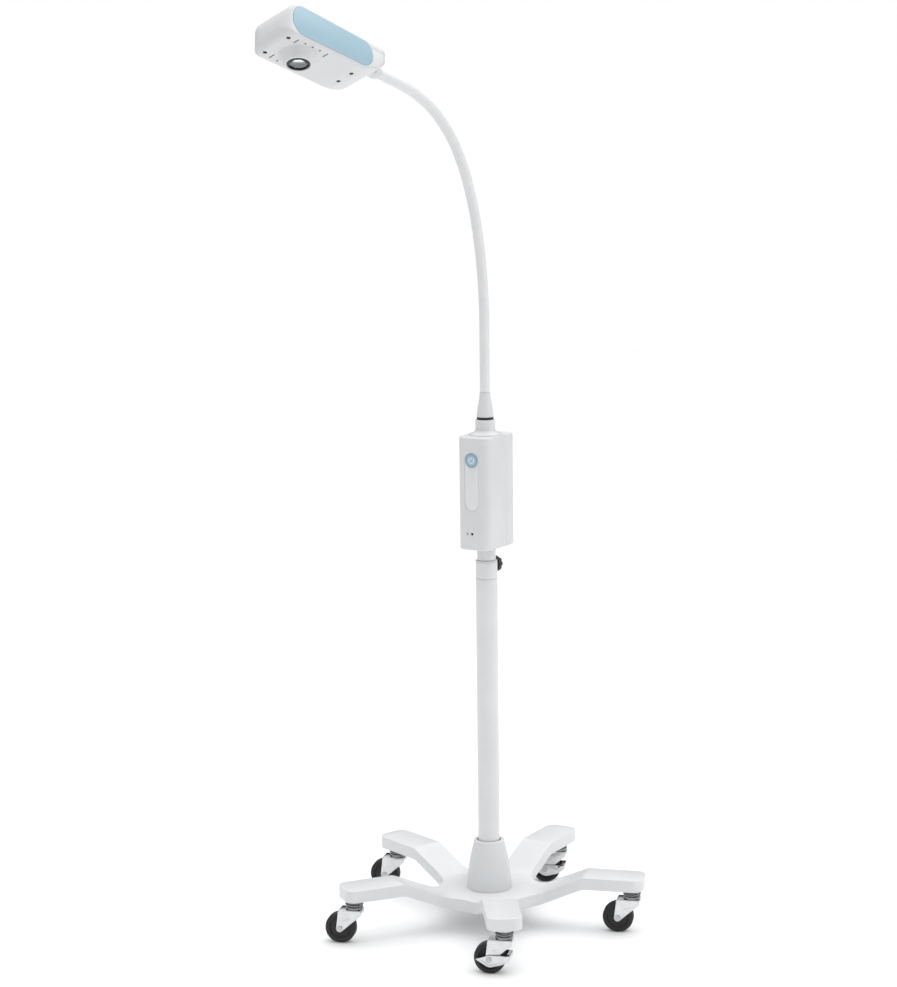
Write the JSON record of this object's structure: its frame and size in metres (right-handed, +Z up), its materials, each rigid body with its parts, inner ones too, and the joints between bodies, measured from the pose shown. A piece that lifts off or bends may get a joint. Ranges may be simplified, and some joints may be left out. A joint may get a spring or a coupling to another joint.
{
  "type": "mobile examination light",
  "caption": "Mobile examination light: a narrow lamp head on a flexible arm, above a push-button control unit on a column with a wheeled star base.",
  "frame": {"origin": "middle of the bounding box's footprint, on the floor", "axes": "+Z up; the control unit's face and its button look towards -Y; the arm leans towards -Y"},
  "size_m": [0.5282, 0.6862, 1.4956],
  "materials": {
    "white_paint": "satin white powder coat",
    "white_plastic": "satin white moulded plastic",
    "sleeve": "matt white flexible sleeve",
    "blue_plastic": "pale blue satin plastic",
    "black_plastic": "black moulded plastic",
    "black_rubber": "black rubber seal",
    "tyre_rubber": "black caster tread",
    "chrome": "bright chrome plate",
    "steel": "zinc plated steel",
    "aluminium": "bare aluminium",
    "lens_glass": "clear domed glass",
    "circuit_board": "green circuit board",
    "led": "yellow phosphor under clear resin"
  },
  "bodies": {
    "stand": {"star_base": "white_paint", "hub_shroud": "white_plastic", "column_tube": "white_paint", "column_collar": "white_paint", "column_plug": "steel", "column_bolt": "steel", "caster_stem_1": "chrome", "caster_stem_2": "chrome", "caster_stem_3": "chrome", "caster_stem_4": "chrome", "caster_stem_5": "chrome"},
    "caster_1": {"caster_fork_1": "chrome", "caster_axle_1": "steel"},
    "wheel_1": {"caster_wheel_1": "tyre_rubber"},
    "caster_2": {"caster_fork_2": "chrome", "caster_axle_2": "steel"},
    "wheel_2": {"caster_wheel_2": "tyre_rubber"},
    "caster_3": {"caster_fork_3": "chrome", "caster_axle_3": "steel"},
    "wheel_3": {"caster_wheel_3": "tyre_rubber"},
    "caster_4": {"caster_fork_4": "chrome", "caster_axle_4": "steel"},
    "wheel_4": {"caster_wheel_4": "tyre_rubber"},
    "caster_5": {"caster_fork_5": "chrome", "caster_axle_5": "steel"},
    "wheel_5": {"caster_wheel_5": "tyre_rubber"},
    "pedal_1": {"brake_pedal_1": "chrome"},
    "pedal_3": {"brake_pedal_3": "chrome"},
    "clamp_stud": {"clamp_stud": "steel"},
    "clamp_knob": {"clamp_knob": "black_plastic"},
    "control_unit": {"unit_stem": "white_paint", "unit_front_cover": "white_plastic", "unit_rear_cover": "white_plastic", "dimmer_strip": "white_plastic", "indicator_lens": "black_plastic", "button_spring": "steel", "control_board": "circuit_board", "power_supply": "aluminium", "power_inlet": "black_plastic", "arm_socket": "white_paint", "arm_gasket": "black_rubber", "arm_lower_ferrule": "white_plastic", "arm_link_1": "sleeve"},
    "button": {"power_button": "blue_plastic"},
    "arm_section_2": {"arm_link_2": "sleeve"},
    "arm_section_3": {"arm_link_3": "sleeve"},
    "arm_section_4": {"arm_link_4": "sleeve"},
    "arm_section_5": {"arm_link_5": "sleeve"},
    "arm_section_6": {"arm_link_6": "sleeve", "arm_upper_ferrule": "white_plastic", "head_lower_housing": "white_plastic", "head_upper_housing": "white_plastic", "side_panel_left": "blue_plastic", "side_panel_right": "blue_plastic", "lens_bezel": "black_plastic", "lens": "lens_glass", "led_module": "led", "heat_sink": "aluminium", "driver_board": "circuit_board"}
  },
  "joints": [
    {"name": "caster_swivel_1", "type": "hinge", "parent": "stand", "child": "caster_1", "pos_m": [0.15298, -0.11159, 0.0709], "axis": [0, 0, 1], "continuous": true},
    {"name": "wheel_spin_1", "type": "hinge", "parent": "caster_1", "child": "wheel_1", "pos_m": [0.13165, -0.11936, 0.0254], "axis": [0.342, -0.9397, 0], "continuous": true},
    {"name": "caster_swivel_2", "type": "hinge", "parent": "stand", "child": "caster_2", "pos_m": [0.24017, 0.15673, 0.0709], "axis": [0, 0, 1], "continuous": true},
    {"name": "wheel_spin_2", "type": "hinge", "parent": "caster_2", "child": "wheel_2", "pos_m": [0.21884, 0.14897, 0.0254], "axis": [0.342, -0.9397, 0], "continuous": true},
    {"name": "caster_swivel_3", "type": "hinge", "parent": "stand", "child": "caster_3", "pos_m": [0.01191, 0.32257, 0.0709], "axis": [0, 0, 1], "continuous": true},
    {"name": "wheel_spin_3", "type": "hinge", "parent": "caster_3", "child": "wheel_3", "pos_m": [-0.00942, 0.31481, 0.0254], "axis": [0.342, -0.9397, 0], "continuous": true},
    {"name": "caster_swivel_4", "type": "hinge", "parent": "stand", "child": "caster_4", "pos_m": [-0.21634, 0.15673, 0.0709], "axis": [0, 0, 1], "continuous": true},
    {"name": "wheel_spin_4", "type": "hinge", "parent": "caster_4", "child": "wheel_4", "pos_m": [-0.23767, 0.14897, 0.0254], "axis": [0.342, -0.9397, 0], "continuous": true},
    {"name": "caster_swivel_5", "type": "hinge", "parent": "stand", "child": "caster_5", "pos_m": [-0.12916, -0.11159, 0.0709], "axis": [0, 0, 1], "continuous": true},
    {"name": "wheel_spin_5", "type": "hinge", "parent": "caster_5", "child": "wheel_5", "pos_m": [-0.15049, -0.11936, 0.0254], "axis": [0.342, -0.9397, 0], "continuous": true},
    {"name": "brake_press_1", "type": "hinge", "parent": "caster_1", "child": "pedal_1", "pos_m": [0.13165, -0.11936, 0.0254], "axis": [-0.342, 0.9397, 0], "range_deg": [0, 18]},
    {"name": "brake_press_3", "type": "hinge", "parent": "caster_3", "child": "pedal_3", "pos_m": [-0.00942, 0.31481, 0.0254], "axis": [-0.342, 0.9397, 0], "range_deg": [0, 18]},
    {"name": "stud_travel", "type": "slide", "parent": "stand", "child": "clamp_stud", "axis": [0, 1, 0], "range_m": [0, 0.0031]},
    {"name": "knob_turn", "type": "hinge", "parent": "clamp_stud", "child": "clamp_knob", "pos_m": [0.01191, 0.08257, 0.6046], "axis": [0, 1, 0], "range_deg": [0, 720]},
    {"name": "unit_swivel", "type": "hinge", "parent": "stand", "child": "control_unit", "pos_m": [0.01191, 0.08257, 0.6156], "axis": [0, 0, 1], "continuous": true},
    {"name": "button_press", "type": "slide", "parent": "control_unit", "child": "button", "axis": [0, 1, 0], "range_m": [0, 0.001], "stiffness_N_per_m": 300, "deforming": ["button_spring"]},
    {"name": "arm_bend_1", "type": "hinge", "parent": "control_unit", "child": "arm_section_2", "pos_m": [0.01191, 0.08257, 0.99428], "axis": [0.9744, -0.225, 0], "range_deg": [-35, 35]},
    {"name": "arm_sweep_2", "type": "hinge", "parent": "arm_section_2", "child": "arm_section_3", "pos_m": [0.01056, 0.07673, 1.09763], "axis": [0.2233, 0.9674, 0.1197], "range_deg": [-35, 35]},
    {"name": "arm_bend_3", "type": "hinge", "parent": "arm_section_3", "child": "arm_section_4", "pos_m": [0.00606, 0.05723, 1.19915], "axis": [0.9744, -0.225, 0], "range_deg": [-35, 35]},
    {"name": "arm_sweep_4", "type": "hinge", "parent": "arm_section_4", "child": "arm_section_5", "pos_m": [-0.00344, 0.01606, 1.29327], "axis": [0.1865, 0.8076, 0.5594], "range_deg": [-35, 35]},
    {"name": "arm_bend_5", "type": "hinge", "parent": "arm_section_5", "child": "arm_section_6", "pos_m": [-0.02039, -0.05733, 1.36295], "axis": [0.9744, -0.225, 0], "range_deg": [-35, 35]}
  ],
  "couplings": [
    {"joint": "stud_travel", "follows": "knob_turn", "m_per_rad": 0.00023873}
  ]
}
